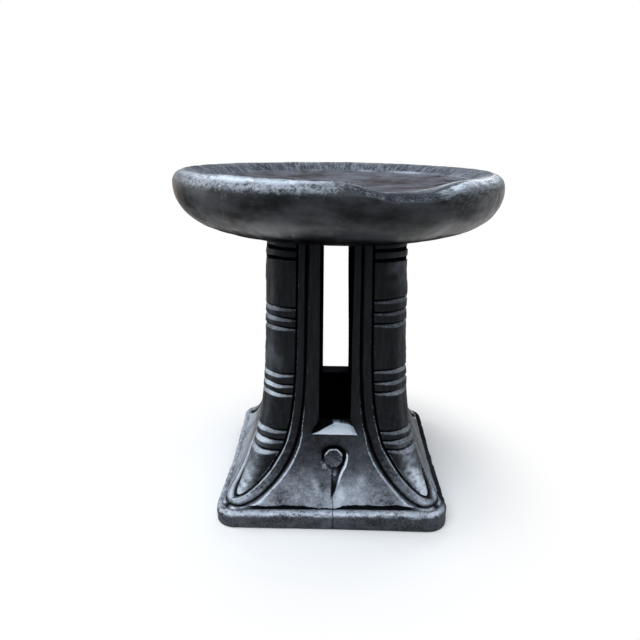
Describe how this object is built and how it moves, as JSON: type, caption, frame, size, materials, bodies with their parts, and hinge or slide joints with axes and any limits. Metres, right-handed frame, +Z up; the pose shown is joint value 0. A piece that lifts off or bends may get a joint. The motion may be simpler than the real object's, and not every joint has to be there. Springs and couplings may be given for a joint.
{
  "type": "carved wooden stool",
  "caption": "Round dished stool carved in dark wood, with a worn dip in its rim, on ringed corner legs with raised straps, pierced webs and a square plinth.",
  "frame": {"origin": "middle of the plinth's underside, on the floor", "axes": "+Z up, the front with the keyhole faces -Y, +X to the right as seen from the front"},
  "size_m": [0.425, 0.425, 0.45],
  "materials": {
    "seat_wood": "burnt and waxed, satin, tooling marks left on the rim",
    "leg_wood": "burnt and waxed, satin",
    "strap_wood": "burnt and waxed, satin",
    "web_wood": "burnt and waxed, satin, scuffed",
    "boss_wood": "burnt and waxed, scuffed",
    "plinth_wood": "burnt and waxed, worn and scuffed"
  },
  "bodies": {
    "root": {"seat": "seat_wood", "leg_front_right": "leg_wood", "leg_rear_right": "leg_wood", "leg_rear_left": "leg_wood", "leg_front_left": "leg_wood", "strap_front_right": "strap_wood", "strap_rear_right": "strap_wood", "strap_rear_left": "strap_wood", "strap_front_left": "strap_wood", "web_front": "web_wood", "web_right": "web_wood", "web_rear": "web_wood", "web_left": "web_wood", "keyhole_boss": "boss_wood", "plinth": "plinth_wood"}
  },
  "joints": []
}
